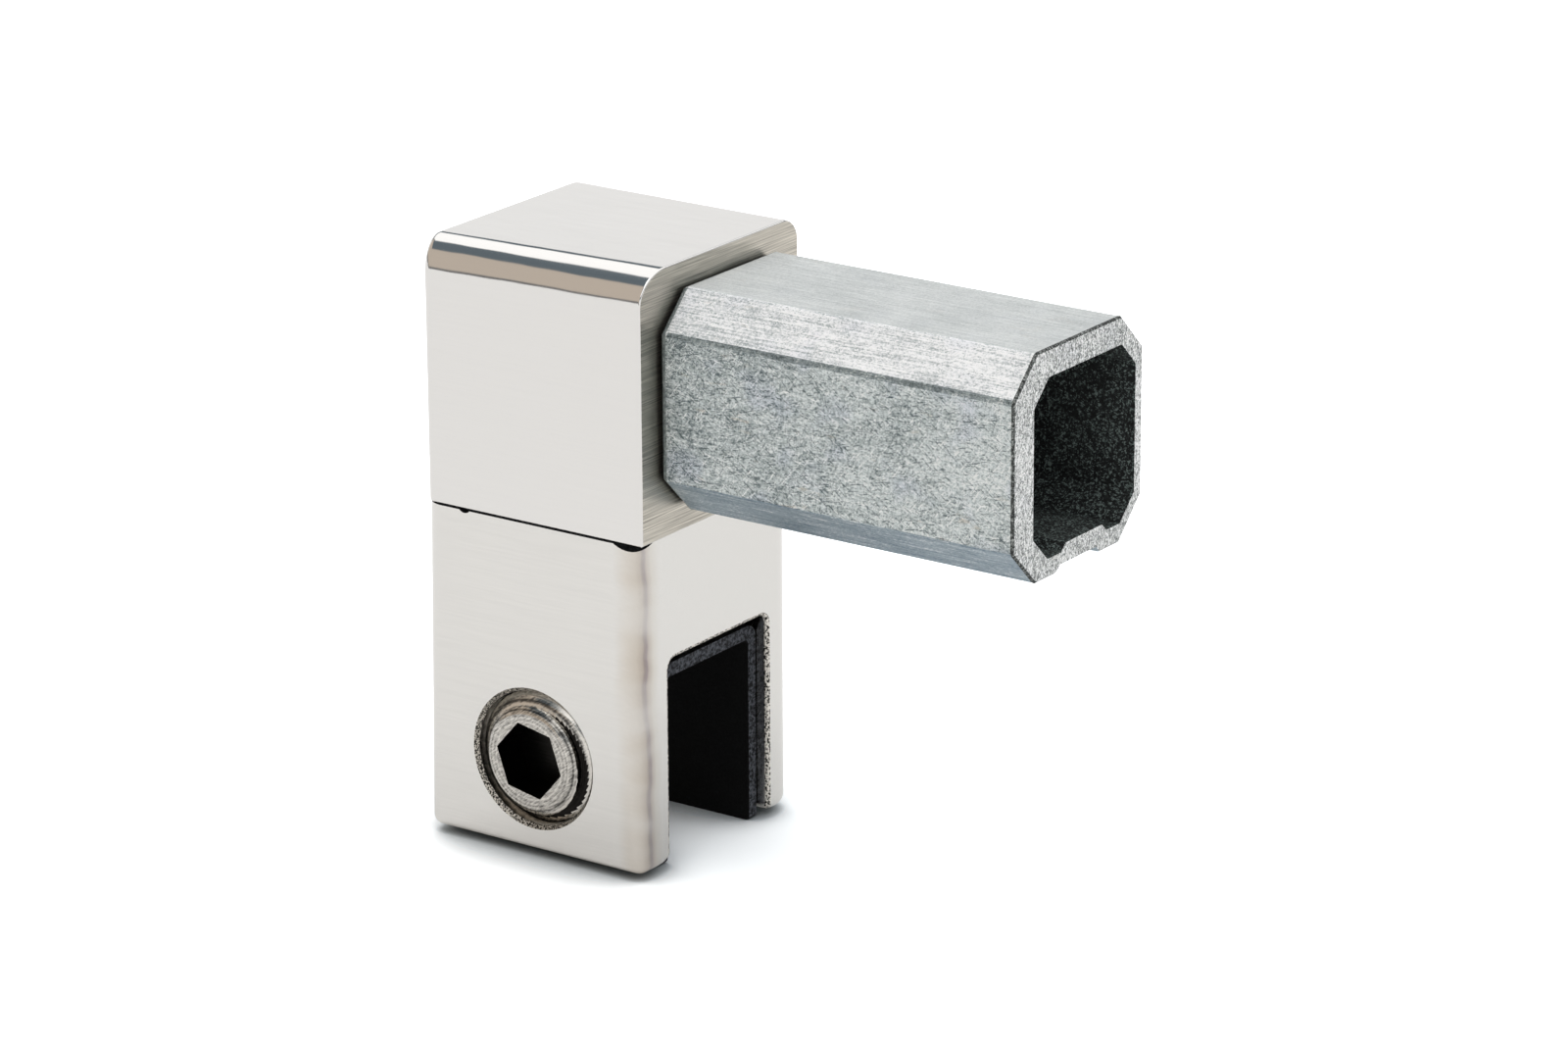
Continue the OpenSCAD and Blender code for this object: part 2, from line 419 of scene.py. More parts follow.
@dataclass(frozen=True)
class CastZinc(Finish):
    """Die-cast zinc alloy, tumbled and handled.

    The eye gets a bluish grey, half dull skin, mottled by oxide, sparkling with fine grain up
    close, scored lengthwise where a tube has slid over it and scratched crosswise by tumbling.
    """

    light: str = "#C4CBCB"
    shade: str = "#7F8A8C"
    glint: str = "#F2F4F3"
    speck: float = 1.0
    score: float = 0.5
    scratch: float = 1.0
    metallic: float = 0.55
    roughness: float = 0.42
    fade: tuple[float, float] | None = None

    def marks(self, tree: Tree) -> Node:
        """Adds up the mottle, scoring, grain and scratches.

        Args:
            tree: The node tree.

        Returns:
            The node that gives the tone first, about -0.6 to 0.75.
        """
        score, speck, scratch = 0.5 * self.score, 0.26 * self.speck, 0.6 * self.scratch
        layers = [
            stretched(tree, (4.5, 4.5, 4.5), 4.0, levels=(0.3, 0.7, -0.16, 0.16)),
            stretched(tree, (4, 0.12, 0.12), 4.0, levels=(0.3, 0.7, -score, score)),
        ]
        # The real grain is finer than 0.05 mm; it is drawn coarser so that it shows.
        layers += [flecks(tree, 0.085, turn, 3.5, speck) for turn in (25, -30, 80)]
        for turn, side in ((52, 1), (-38, -1), (12, -1), (-15, 1)):
            layers.append(stretched(tree, (0.9, 0.3, 0.09), 1.0, turn, (0.64, 0.7, 0.0, side * scratch)))
        if self.fade:
            coords = add_node(tree, "TexCoord").outputs["Object"]
            along = add_node(tree, "SeparateXYZ", Vector=coords)
            start, stop = (at * MM for at in self.fade)
            ends = {"From_Min": start, "From_Max": stop, "To_Min": -0.12, "To_Max": 0.12}
            layers.append(add_node(tree, "MapRange", Value=along, **ends))
        tone = layers[0]
        for layer in layers[1:]:
            tone = add_node(tree, "Math", in_0=tone, in_1=layer)
        return tone

    def paint(self, tree: Tree) -> None:
        """Adds the material's nodes."""
        tone = self.marks(tree)
        stops = [(0.0, linear(self.shade)), (0.6, linear(self.light)), (1.0, linear(self.glint))]
        level = add_node(tree, "MapRange", Value=tone, From_Min=-0.6, From_Max=0.75)
        colour = add_node(tree, "ValToRGB", stops=stops, Fac=level)
        worn = min(1.0, self.scratch)
        oxide = stretched(tree, (3, 3, 3), 1.0, levels=(0.52, 0.7, 0.0, 0.5 * worn))
        handled = stretched(tree, (2.6, 1.6, 0.7), 2.0, levels=(0.66, 0.74, 0.0, 0.6 * worn))
        for patch, tint in ((oxide, linear("#E6E8F6")), (handled, linear("#EFE0D2"))):
            colour = add_node(tree, "Mix", MULTIPLY, in_0=patch, in_6=colour, in_7=tint).outputs[2]
        dress(
            tree, tone, 0.02, Base_Color=colour, Metallic=self.metallic, Roughness=self.roughness
        )


@dataclass(frozen=True)
class MouldedRubber(Finish):
    """Black EPDM rubber, extruded and cut to length.

    The eye gets a soft black with a weak sheen, and a grainier, greyer cut at the ends.
    """

    colour: str = "#040405"
    fleck: str = "#0B0C0C"
    grain_size: float = 0.2

    def paint(self, tree: Tree) -> None:
        """Adds the material's nodes."""
        grain = stretched(tree, (self.grain_size,) * 3)
        stops = [(0.4, linear(self.colour)), (0.65, linear(self.fleck))]
        colour = add_node(tree, "ValToRGB", stops=stops, Fac=grain)
        dress(tree, grain, 0.03, 0.7, Base_Color=colour, Roughness=0.7, Specular_IOR_Level=0.12)


@dataclass(frozen=True)
class WhiteCard(Finish):
    """Matt white card for the floor.

    The eye gets a floor that is lost in the white behind it, with a soft grey contact shade. The
    light that it gives back is plain card's, and metal shows it a little paler.
    """

    card: float = 0.8
    mirrored: float = 0.95
    seen: tuple[float, float, float, float] = (1.55, 1.58, 1.6, 1.0)
    contact: float = 7.0  # how far from the clamp its shade reaches

    def paint(self, tree: Tree) -> None:
        """Adds the material's nodes."""
        path = add_node(tree, "LightPath").outputs
        card = add_node(tree, "BsdfDiffuse", Color=grey(self.card))
        mirrored = add_node(tree, "BsdfDiffuse", Color=grey(self.mirrored))
        # Painted shade: the AO node darkens the floor's seen colour near the clamp, over its real shadow.
        near = add_node(tree, "AmbientOcclusion", Distance=self.contact * MM).outputs["AO"]
        stops = [(0.0, linear("#41494C")), (0.5, linear("#CACFD2")), (0.85, self.seen), (1.0, self.seen)]
        shade = add_node(tree, "ValToRGB", stops=stops, Fac=near)
        seen = add_node(tree, "BsdfDiffuse", Color=shade)
        shiny = add_node(
            tree,
            "Math",
            {"operation": "MAXIMUM"},
            in_0=path["Is Glossy Ray"],
            in_1=path["Is Transmission Ray"],
        )
        shared = add_node(tree, "MixShader", in_0=shiny, in_1=card, in_2=mirrored)
        shown = add_node(tree, "MixShader", in_0=path["Is Camera Ray"], in_1=shared, in_2=seen)
        add_node(tree, "OutputMaterial", Surface=shown)


# ---------------------------------------------
# Mesh helpers


def centre_of(node: str) -> Vector:
    """The middle of a CAD node's box."""
    low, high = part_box(node)
    return (low + high) / 2


def block(low: Vector, high: Vector) -> Solid:
    """A solid box between two corners."""
    bm = bmesh.new()
    fill = Matrix.Translation((low + high) / 2) @ Matrix.Diagonal((*(high - low), 1))
    bmesh.ops.create_cube(bm, size=1, matrix=fill)
    return bm


def prism(corners: Sequence[Vector], sweep: Vector) -> Solid:
    """Extrudes a flat outline into a solid.

    Args:
        corners: The outline's corners in order.
        sweep: How far and which way the outline is swept.

    Returns:
        The closed solid.
    """
    bm = bmesh.new()
    face = bm.faces.new([bm.verts.new(corner) for corner in corners])
    swept = bmesh.ops.extrude_face_region(bm, geom=[face], use_keep_orig=True)["geom"]
    moved = [item for item in swept if isinstance(item, bmesh.types.BMVert)]
    bmesh.ops.translate(bm, vec=sweep, verts=moved)
    bmesh.ops.recalc_face_normals(bm, faces=bm.faces)
    return bm


def slotted_bar(
    low: Vector, high: Vector, left: float, right: float, ceiling: float
) -> Solid:
    """A box between two corners with a slot along X that is open at the foot.

    Args:
        low: The lower corner.
        high: The upper corner.
        left: The y of the slot's front wall, in metres.
        right: The y of its back wall.
        ceiling: The z of its ceiling.

    Returns:
        The closed solid.
    """
    outside = [(high.y, low.z), (high.y, high.z), (low.y, high.z), (low.y, low.z)]
    slot = [(left, low.z), (left, ceiling), (right, ceiling), (right, low.z)]
    section = [Vector((low.x, y, z)) for y, z in outside + slot]
    return prism(section, Vector((high.x - low.x, 0, 0)))


def lathe(outline: Outline, foot: Vector, axis: Vector, steps: int = 96) -> Solid:
    """Spins an outline of radii and distances round an axis.

    Args:
        outline: Pairs of radius and distance along the axis, in millimetres, that start and end
            on the axis.
        foot: The point on the axis where the distance is nought.
        axis: The axis, as a unit vector.
        steps: Segments round the axis.

    Returns:
        The closed solid.
    """
    bm = bmesh.new()
    out = axis.orthogonal().normalized()
    verts = [bm.verts.new(foot + out * r * MM + axis * d * MM) for r, d in outline]
    edges = [bm.edges.new(pair) for pair in zip(verts, verts[1:])]
    bmesh.ops.spin(
        bm, geom=verts + edges, cent=foot, axis=axis, angle=math.tau, steps=steps, use_merge=True
    )
    bmesh.ops.remove_doubles(bm, verts=bm.verts, dist=NEAR)
    bmesh.ops.recalc_face_normals(bm, faces=bm.faces)
    return bm


def finished(bm: Solid, finish: Enum) -> Solid:
    """The same mesh, with all its faces in one finish."""
    for face in bm.faces:
        face.material_index = finish.value
    return bm


def drill(radius: float, depth: float, foot: Vector, axis: Vector) -> Solid:
    """A round cutter that starts 1 mm before its foot and goes as deep as told, in millimetres."""
    return lathe([(0, -1), (radius, -1), (radius, depth), (0, depth)], foot, axis, 48)


def carve(bm: Solid, cutters: Iterable[Solid]) -> Solid:
    """Cuts solids out of a solid.

    Args:
        bm: The solid to cut, which is used up.
        cutters: The solids to cut out of it, which are used up too. The new faces keep the
            material index of the cutter's faces.

    Returns:
        What is left.
    """
    made = []

    def temporary(source: Solid) -> bpy.types.Object:
        """A mesh object that lasts until the carving is done."""
        mesh = bpy.data.meshes.new("carving")
        source.to_mesh(mesh)
        source.free()
        obj = bpy.data.objects.new("carving", mesh)
        bpy.context.scene.collection.objects.link(obj)
        made.append(obj)
        return obj

    solid = temporary(bm)
    for cutter in cutters:
        cut = solid.modifiers.new("cut", "BOOLEAN")
        cut.operation, cut.solver, cut.object = "DIFFERENCE", "EXACT", temporary(cutter)
    graph = bpy.context.evaluated_depsgraph_get()
    result = bmesh.new()
    result.from_object(solid, graph)
    for obj in made:
        mesh = obj.data
        bpy.data.objects.remove(obj)
        bpy.data.meshes.remove(mesh)
    bmesh.ops.remove_doubles(result, verts=result.verts, dist=NEAR)
    return result


def edges_at(bm: Solid, **places: float) -> list[bmesh.types.BMEdge]:
    """The edges that lie wholly at the given coordinates.

    Args:
        bm: The mesh to look through.
        **places: Coordinates in metres, under the names x, y and z.

    Returns:
        The edges found.
    """
    return [
        edge
        for edge in bm.edges
        if all(abs(getattr(v.co, axis) - at) < NEAR * 10 for v in edge.verts for axis, at in places.items())
    ]


def sharp(edges: Iterable[bmesh.types.BMEdge]) -> list[bmesh.types.BMEdge]:
    """The edges among these whose two faces meet at a clear angle."""
    return [edge for edge in edges if edge.calc_face_angle(0) > SHARP_ANGLE]


def round_off(
    bm: Solid,
    edges: Iterable[bmesh.types.BMEdge],
    radius: float,
    segments: int = 12,
    finish: int | None = None,
) -> None:
    """Rounds edges of a mesh.

    Args:
        bm: The mesh.
        edges: The edges to round.
        radius: The rounding's radius in millimetres.
        segments: Segments in the rounding.
        finish: The material index that the rounding takes, or None for its neighbours'.
    """
    made = bmesh.ops.bevel(
        bm,
        geom=list(edges),
        offset=radius * MM,
        offset_type="OFFSET",
        segments=segments,
        profile=0.5,
        affect="EDGES",
        material=-1,
        clamp_overlap=False,
    )
    if finish is not None:
        for face in made["faces"]:
            face.material_index = finish


# ---------------------------------------------
# Sub-assemblies


@dataclass
class SubAssembly:
    """One piece of the clamp, which stands for a CAD node and has that node's box."""

    node: ClassVar[str] = ""

    def __post_init__(self) -> None:
        """Reads the corners and the middle of the node's box."""
        self.low, self.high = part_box(self.node)
        self.middle = (self.low + self.high) / 2

    def place(
        self, name: str, bm: Solid, finishes: Sequence[Finish], slot: str, body: Body = Body.CLAMP
    ) -> None:
        """Turns a mesh into a finished piece that rides on its body and stands for the node.

        Args:
            name: The piece's name.
            bm: The mesh, in the row frame, which is used up.
            finishes: The finishes that the faces' indices refer to.
            slot: The record's material slot; not used.
            body: The body that the piece moves with.
        """
        bm.normal_update()
        for face in bm.faces:
            face.smooth = True
        for edge in bm.edges:
            edge.smooth = edge.calc_face_angle(0) < SHARP_ANGLE
        mesh = bpy.data.meshes.new(name)
        bm.to_mesh(mesh)
        bm.free()
        for finish in finishes:
            mesh.materials.append(finish.build())
        piece = bpy.data.objects.new(name, mesh)
        bpy.context.scene.collection.objects.link(piece)
        normals = piece.modifiers.new("flat faces", "WEIGHTED_NORMAL")
        normals.keep_sharp, normals.weight = True, 100
        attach(piece, body.value)
        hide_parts(self.node)
        log.info("%s: %d faces", name, len(mesh.polygons))


@dataclass
class EndBlock(SubAssembly):
    """The polished cube at the end of the tube."""

    node = "end_block"
    front_round: float = 2.5
    front_left: tuple[float, float] = (1.75, 2.8)  # across the top, down the front
    front_right: tuple[float, float] = (3.1, 2.35)
    back_round: float = 1.8
    end_round: float = 0.7
    face_break: float = 0.14
    foot_break: float = 0.1
    bore_spare: float = 0.3

    def hand_buff(self, bm: Solid) -> None:
        """Makes the front rounding an oval that differs from end to end, as a hand on a belt does."""
        full = self.front_round * MM
        for vert in bm.verts:
            out = (self.low.y + full - vert.co.y) / full
            up = (vert.co.z - self.high.z + full) / full
            if out > -0.001 and up > -0.001:
                across, down = self.front_left if vert.co.x < 0 else self.front_right
                vert.co.y = self.low.y + (1 - out) * across * MM
                vert.co.z = self.high.z - (1 - up) * down * MM

    def bores(self) -> list[Solid]:
        """The cutters of the holes for the body's bolt and the plug's screw."""
        bolt, screw = centre_of("body_bolt"), centre_of("plug_screw")
        rise = (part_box("body_bolt")[1].z - self.low.z) / MM + self.bore_spare
        reach = (self.high.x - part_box("plug_screw")[0].x) / MM + self.bore_spare
        return [
            drill(BOLT_BORE, rise, Vector((bolt.x, bolt.y, self.low.z)), Vector((0, 0, 1))),
            drill(PLUG_SCREW_BORE, reach, Vector((self.high.x, screw.y, screw.z)), Vector((-1, 0, 0))),
        ]

    def build(self) -> None:
        """Makes the block with its rounded and broken edges."""
        low, high = self.low, self.high
        bm = block(low, high)
        round_off(bm, edges_at(bm, y=low.y, z=high.z), self.front_round, 20)
        self.hand_buff(bm)
        round_off(bm, edges_at(bm, y=high.y, z=high.z), self.back_round, 16)
        seam = edges_at(bm, z=low.z)
        round_off(bm, [e for e in sharp(edges_at(bm, x=low.x)) if e not in seam], self.end_round, 8)
        round_off(bm, sharp(edges_at(bm, x=high.x)), self.face_break, 4)
        round_off(bm, sharp(edges_at(bm, z=low.z)), self.foot_break, 3)
        bm = carve(bm, self.bores())
        for face in bm.faces:
            face.material_index = 1 if face.normal.x > 0.9 else 0
        buffed = GroundStainless("buffed_stainless_block", roughness=0.1, tone=0.02, wave_depth=0.04)
        ground = GroundStainless(
            "belt_ground_stainless_face",
            colour="#DCD6CA",
            grain=Grain.ALONG_Y,
            roughness=0.36,
            line_pitch=0.1,
            line_length=7.0,
            line_depth=0.012,
            tone=0.6,
        )
        self.place("end_block_polished", bm, [buffed, ground], "steel_block")


class Steel(Enum):
    """The body's finishes, by material index."""

    BUFFED = 0
    MOUTH = 1
    SLOT_EDGE = 2
    SEAM_SHADE = 3
    # painted shade: a black sheet in the front seam, the filed wedge and the nick
    HOLE_WALL = 4


@dataclass
class ClampBody(SubAssembly):
    """The forked body under the block, with its slot for the glass and the set screw's hole."""

    node = "clamp_body"
    slot_gap: float = 0.05
    slot_round: float = 0.8
    front_upright: tuple[float, float] = (2.6, 0.85)  # radius at the top, at the foot
    back_upright: float = 2.3
    far_front_upright: tuple[float, float] = (1.7, 0.82)
    far_back_upright: float = 0.8
    foot_round: float = 0.78
    seam_break: float = 0.15
    slot_break: float = 0.3
    hole_radius: float = 5.0
    mouth_radius: float = 5.3
    bolt_rim: float = 5.75
    bolt_seat: float = 0.3
    lead_in: float = 0.35
    filed_ends: tuple[float, float] = (2.4, 2.2)  # along the front, along the side
    filed_drop: float = 0.7
    nick_radius: float = 0.38
    nick_place: float = -6.1
    shade_round: float = 2.3  # the rounding that the painted shade follows

    def __post_init__(self) -> None:
        """Adds the slot's half width and the height of its ceiling, in metres."""
        super().__post_init__()
        self.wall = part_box("rubber_liner")[1].y + self.slot_gap * MM
        self.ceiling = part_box("body_bolt")[0].z

    def grind_upright(self, bm: Solid, x: float, inward: int, radius: float, foot: float) -> None:
        """Makes an upright front rounding narrower toward the foot, as hand grinding leaves it.

        Args:
            bm: The mesh, with an even rounding on the edge.
            x: The edge's x before it was rounded.
            inward: The sign of the x direction that leads into the solid.
            radius: The rounding's radius in millimetres, which it keeps at the top.
            foot: Its radius at the foot.
        """
        low, high = self.low, self.high
        for vert in bm.verts:
            dx, dy = (vert.co.x - x) * inward, vert.co.y - low.y
            if max(dx, dy) > radius * MM + NEAR or min(dx, dy) < -NEAR:
                continue
            new = (radius + (foot - radius) * (high.z - vert.co.z) / (high.z - low.z)) * MM
            out = Vector((dx, dy)) - Vector((radius, radius)) * MM
            if out.length > NEAR:
                out *= (new - radius * MM + out.length) / out.length
                vert.co.x = x + (new + out.x) * inward
                vert.co.y = low.y + new + out.y

    def fork(self) -> Solid:
        """The fork with its rounded and ground edges, without its holes."""
        low, high, wall, ceiling = self.low, self.high, self.wall, self.ceiling
        bm = slotted_bar(low, high, -wall, wall, ceiling)
        near, far = self.front_upright, self.far_front_upright
        round_off(bm, edges_at(bm, x=high.x, y=low.y), near[0], 16)
        round_off(bm, edges_at(bm, x=high.x, y=high.y), self.back_upright, 16)
        round_off(bm, edges_at(bm, x=low.x, y=low.y), far[0], 10)
        round_off(bm, edges_at(bm, x=low.x, y=high.y), self.far_back_upright, 8)
        for y in (wall, -wall):
            round_off(bm, edges_at(bm, y=y, z=ceiling), self.slot_round, 8)
        round_off(bm, sharp(edges_at(bm, z=low.z)), self.foot_round, 8)
        round_off(bm, sharp(edges_at(bm, z=high.z)), self.seam_break, 4)
        round_off(bm, sharp(bm.edges), self.slot_break, 3, Steel.SLOT_EDGE.value)
        self.grind_upright(bm, high.x, -1, *near)
        self.grind_upright(bm, low.x, 1, *far)
        bm.normal_update()
        # The front faces of the top edge break take painted shade along the seam.
        for face in bm.faces:
            if face.normal.y < -0.2 and face.normal.z > 0.1 and face.calc_center_median().z > high.z - MM:
                face.material_index = Steel.SEAM_SHADE.value
        return bm

    def screw_hole(self) -> Solid:
        """The cutter of the set screw's hole, with the torn mouth of its thread."""
        axis, front = centre_of("set_screw"), self.low.y
        radius, mouth = self.hole_radius, self.mouth_radius
        through = -(front + self.wall) / MM + 1
        outline = [(0, -1), (mouth, -1), (mouth, 0), (radius, mouth - radius), (radius, through), (0, 5)]
        hole = lathe(outline, Vector((axis.x, front, axis.z)), Vector((0, 1, 0)))
        for face in hole.faces:
            deep = face.calc_center_median().y > front + (mouth - radius) * MM
            face.material_index = (Steel.HOLE_WALL if deep else Steel.MOUTH).value
        return hole

    def countersink(self) -> Solid:
        """The cutter of the bolt's countersunk hole, from the slot's ceiling to the top."""
        head = (self.high.z - self.ceiling) / MM + 1
        rim, seat = self.bolt_rim, self.bolt_seat
        outline = [(0, -1), (rim, -1), (rim, seat), (BOLT_BORE, seat + rim - BOLT_BORE)]
        outline += [(BOLT_BORE, head), (0, head)]
        return lathe(outline, Vector((0, 0, self.ceiling)), Vector((0, 0, 1)))

    def nick(self) -> Solid:
        """The cutter of the dent in the top front edge, its faces in painted shade."""
        dent = bmesh.new()
        centre = Vector((self.nick_place * MM, self.low.y, self.high.z))
        squashed = Matrix.Translation(centre) @ Matrix.Diagonal((1.3, 1, 0.9, 1))
        radius = self.nick_radius * MM
        bmesh.ops.create_uvsphere(dent, u_segments=16, v_segments=8, radius=radius, matrix=squashed)
        return finished(dent, Steel.SEAM_SHADE)

    def filed_corner(self) -> Solid:
        """The cutter of the wedge filed off the upper end of the front rounding, in painted shadow."""
        corner = Vector((self.high.x, self.low.y, self.high.z))
        start = corner - Vector((self.filed_ends[0], 0, 0)) * MM
        along = corner + Vector((0, self.filed_ends[1], 0)) * MM - start
        out = Vector((along.y, -along.x, 0)).normalized() * MM
        up = Vector((0, 0, MM))
        drop = self.filed_drop / 0.55
        inner = start - out * 0.1 + up * drop * 0.1
        section = [inner, start + out * 2 + up * 0.2, start + out * 2 - up * drop * 2]
        return finished(prism([point - along * 0.1 for point in section], along * 1.2), Steel.SEAM_SHADE)

    def lead_in_cutter(self) -> Solid:
        """What is rounded off the front leg's inner edge to lead the glass in."""
        radius, clear = self.lead_in, 0.4
        steps = [math.radians(90 * i / 8) for i in range(9)]
        section = [(-radius * (1 - math.sin(a)), radius * (1 - math.cos(a))) for a in steps]
        section += [(clear, radius), (clear, -clear), (-radius, -clear)]
        start = Vector((self.low.x - MM, -self.wall, self.low.z))
        corners = [start + Vector((0, y, z)) * MM for y, z in section]
        return prism(corners, Vector((self.high.x - self.low.x + 2 * MM, 0, 0)))

    def finishes(self) -> list[Finish]:
        """The body's finishes, by material index."""
        x, y = self.high.x / MM - self.shade_round, self.low.y / MM + self.shade_round
        return [
            GroundStainless(
                "buffed_stainless_body",
                colour="#DEDCD8",
                roughness=0.2,
                line_pitch=0.11,
                tone=0.05,
                # painted shade down the front right upright rounding
                rounding_shade=(x, y),
            ),
            TornSteel("tapped_hole_mouth", bright="#D6D0C5", dark="#171512", speck=0.12, share=0.48),
            TornSteel("sawn_slot_edge", bright="#E6E1D8", speck=0.16, share=0.45),
            # painted shade for the front seam, the filed wedge under the block's corner and the nick
            MouldedRubber("painted_seam_shade", colour="#050607", fleck="#16191B"),
            TurnedSteel("tapped_hole_wall", centre_of("set_screw"), colour="#D8D4CC", roughness=0.3),
        ]

    def build(self) -> None:
        """Makes the fork and cuts its holes."""
        cutters = [
            self.screw_hole(),
            self.countersink(),
            self.nick(),
            self.filed_corner(),
            self.lead_in_cutter(),
        ]
        self.place("clamp_body_buffed", carve(self.fork(), cutters), self.finishes(), "steel_body")


@dataclass
class RubberLiner(SubAssembly):
    """The rubber channel that holds the glass."""

    node = "rubber_liner"
    web: float = 1.05
    leg: float = 0.95
    outer_round: float = 1.0
    inner_round: float = 0.4
    foot_round: float = 0.4
    edge_break: float = 0.06

    def build(self) -> None:
        """Makes the channel."""
        low, high = self.low, self.high
        left, right = low.y + self.leg * MM, high.y - self.leg * MM
        ceiling = high.z - self.web * MM
        bm = slotted_bar(low, high, left, right, ceiling)
        for y in (low.y, high.y):
            round_off(bm, edges_at(bm, y=y, z=high.z), self.outer_round, 8)
        for y in (left, right):
            round_off(bm, edges_at(bm, y=y, z=ceiling), self.inner_round, 6)
        round_off(bm, edges_at(bm, x=high.x, z=low.z), self.foot_round, 6)
        round_off(bm, sharp(bm.edges), self.edge_break, 3)
        bm.normal_update()
        for face in bm.faces:
            face.material_index = 1 if abs(face.normal.x) > 0.9 else 0
        cut_end = MouldedRubber("epdm_rubber_cut_end", colour="#131416", fleck="#5A5D63")
        self.place("rubber_liner_channel", bm, [MouldedRubber("epdm_rubber"), cut_end], "liner_rubber")


class Skin(Enum):
    """The casting's skins, by material index, some of them painted light and shade by face direction."""

    SIDE = 0
    HOLLOW = 1
    TOP = 2
    SHOULDER = 3
    UNDER = 4
    CREASE = 5
    END = 6
    BURR = 7
    GAP = 8


@dataclass
class TubePlug(SubAssembly):
    """The hollow casting that fits inside the tube."""

    node = "tube_plug"
    chamfer: float = 2.8
    wall: float = 1.7
    root: float = 3.0
    hollow_offset: float = 0.7
    hollow_drop: float = 0.3
    groove_width: float = 4.6
    groove_depth: float = 0.55
    crease_round: float = 0.24
    inner_round: float = 0.08
    root_round: float = 0.9
    end_break: float = 0.26

    def skin(self, face: bmesh.types.BMFace) -> Skin:
        """Which skin a face of the casting's outside has, by its direction, for painted light and shade."""
        normal, middle = face.normal, face.calc_center_median()
        # The faces by the block take painted shadow.
        if middle.x < self.low.x + 0.3 * MM:
            return Skin.GAP
        if normal.x > 0.9 and middle.x > self.high.x - MM:
            return Skin.END
        # Faces turned toward the block take the crease's painted shade.
        if normal.x < -0.25:
            return Skin.CREASE
        lean = math.degrees(math.atan2(normal.z, abs(normal.y)))
        nearest = min((-90, -45, 0, 45, 90), key=lambda flat: abs(flat - lean))
        # Between the side and the shoulder, the crease takes painted shade.
        if abs(nearest - lean) > 4 and abs(normal.x) < 0.1 and 0 < lean < 45:
            return Skin.CREASE
        return {-90: Skin.UNDER, -45: Skin.UNDER, 0: Skin.SIDE, 45: Skin.SHOULDER, 90: Skin.TOP}[nearest]

    @staticmethod
    def finishes() -> list[Finish]:
        """The casting's finishes, in the order of its skins."""
        rough = {"score": 0.0, "scratch": 0.3}
        unlit = {"scratch": 0.0, "metallic": 0.0, "roughness": 0.8}
        dull = {"metallic": 0.4}
        return [
            CastZinc("cast_zinc_side", "#CFD7D7", "#5A676A", speck=0.98, score=0.45, fade=(12, 34)),
            # painted shade: the hollow and the screw's hole are dark as if no light reached them
            CastZinc("cast_zinc_hollow_painted_shade", "#1B2120", "#020303", "#7D8B87", speck=2.1, score=0.0, **unlit),
            # the top's smoother grain, and painted light from above
            CastZinc("cast_zinc_top_painted_light", "#D8DBDA", "#A4AAAA", speck=0.45, score=0.55, scratch=0.15, **dull),
            # painted highlight: the shoulder is near white because light falls on it, with its lengthwise
            # scoring
            CastZinc("painted_highlight_zinc_shoulder", "#FAFBFC", "#A0A8AA", "#FFFFFF", 0.8, 0.9, 0.4, metallic=0.1),
            # painted shade on the underside chamfers and groove, with their scoring
            CastZinc("cast_zinc_underside_painted_shade", "#A3B2BA", "#66798A", speck=0.6, score=0.9, scratch=0.2),
            # painted shade in the creases and on faces toward the block
            CastZinc("cast_zinc_crease_painted_shade", "#9EA9AB", "#4C575A", speck=0.8, scratch=0.4),
            CastZinc("sawn_zinc_end", "#E2E4E3", "#666B6A", "#FFFFFF", speck=2.0, metallic=0.3, **rough),
            CastZinc(
                "sawn_zinc_burr", "#4A4E4C", "#090A09", "#A9ADAA", 1.6, metallic=0.0, roughness=0.7, **rough
            ),
            # painted shadow: a black line where the plug meets the block
            CastZinc("painted_shadow_zinc_gap", "#14181A", "#060707", "#23292B", **unlit),
        ]

    def groove(self, side: float, below: float = 0.0) -> Outline:
        """The groove's section at the underside of a square of the given side, as y and z."""
        a, top = side / 2, self.groove_width / 2
        foot, rise = top + self.groove_depth + below, self.groove_depth - a
        return [(-foot, -a - below), (-top, rise), (top, rise), (foot, -a - below)]

    @staticmethod
    def octagon(side: float, cut: float, foot: Outline = ()) -> Outline:
        """A square's section with its corners cut off, and other points along its foot."""
        a, b = side / 2, side / 2 - cut
        return [(-b, -a), *foot, (b, -a), (a, -b), (a, b), (b, a), (-b, a), (-a, b), (-a, -b)]

    @staticmethod
    def extruded(outline: Outline, centre: Vector, start: float, stop: float) -> Solid:
        """A solid of one section along the tube.

        Args:
            outline: The section, as y and z from its centre.
            centre: The section's centre, in metres.
            start: The x that it starts at.
            stop: The x that it ends at.

        Returns:
            The closed solid.
        """
        corners = [Vector((start, centre.y + y * MM, centre.z + z * MM)) for y, z in outline]
        return prism(corners, Vector((stop - start, 0, 0)))

    @staticmethod
    def creases(bm: Solid) -> list[bmesh.types.BMEdge]:
        """The edges that run along the tube."""
        return [edge for edge in bm.edges if abs(edge.verts[0].co.x - edge.verts[1].co.x) > 10 * MM]

